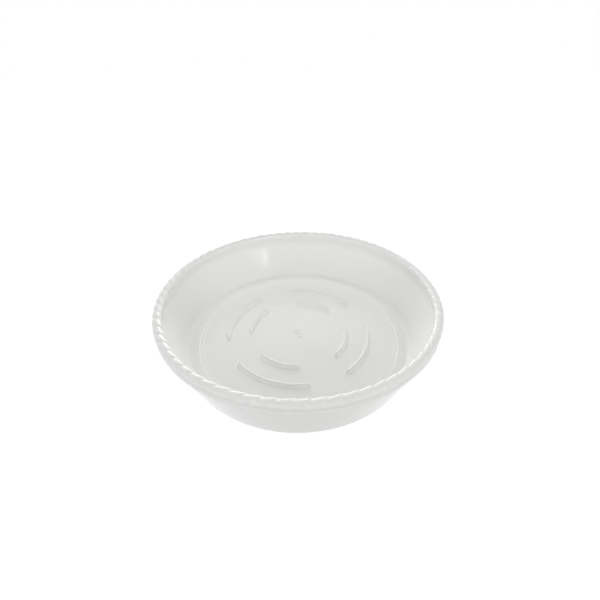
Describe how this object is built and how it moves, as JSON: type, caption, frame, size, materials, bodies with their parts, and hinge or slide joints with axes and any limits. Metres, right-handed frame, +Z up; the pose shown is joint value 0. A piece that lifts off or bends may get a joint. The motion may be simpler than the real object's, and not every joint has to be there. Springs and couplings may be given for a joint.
{
  "type": "plant saucer",
  "caption": "Round drip saucer with a leaning wall, a rope-patterned rim and curved ribs that hold a plant pot off the floor.",
  "frame": {"origin": "middle of the face that the saucer stands on", "axes": "+Z up along the saucer's axis, +X to the right and -Y towards the viewer in the picture"},
  "size_m": [0.14, 0.14, 0.0312],
  "materials": {
    "milky_polypropylene": "milky, satin as moulded"
  },
  "bodies": {
    "root": {"floor_panel": "milky_polypropylene", "foot_ring": "milky_polypropylene", "base_corner": "milky_polypropylene", "side_wall": "milky_polypropylene", "rim_band": "milky_polypropylene", "rope_rim": "milky_polypropylene", "long_rib_1": "milky_polypropylene", "long_rib_2": "milky_polypropylene", "long_rib_3": "milky_polypropylene", "long_rib_4": "milky_polypropylene", "short_rib_1": "milky_polypropylene", "short_rib_2": "milky_polypropylene", "short_rib_3": "milky_polypropylene", "short_rib_4": "milky_polypropylene", "gate_boss": "milky_polypropylene", "gate_stub": "milky_polypropylene"}
  },
  "joints": []
}
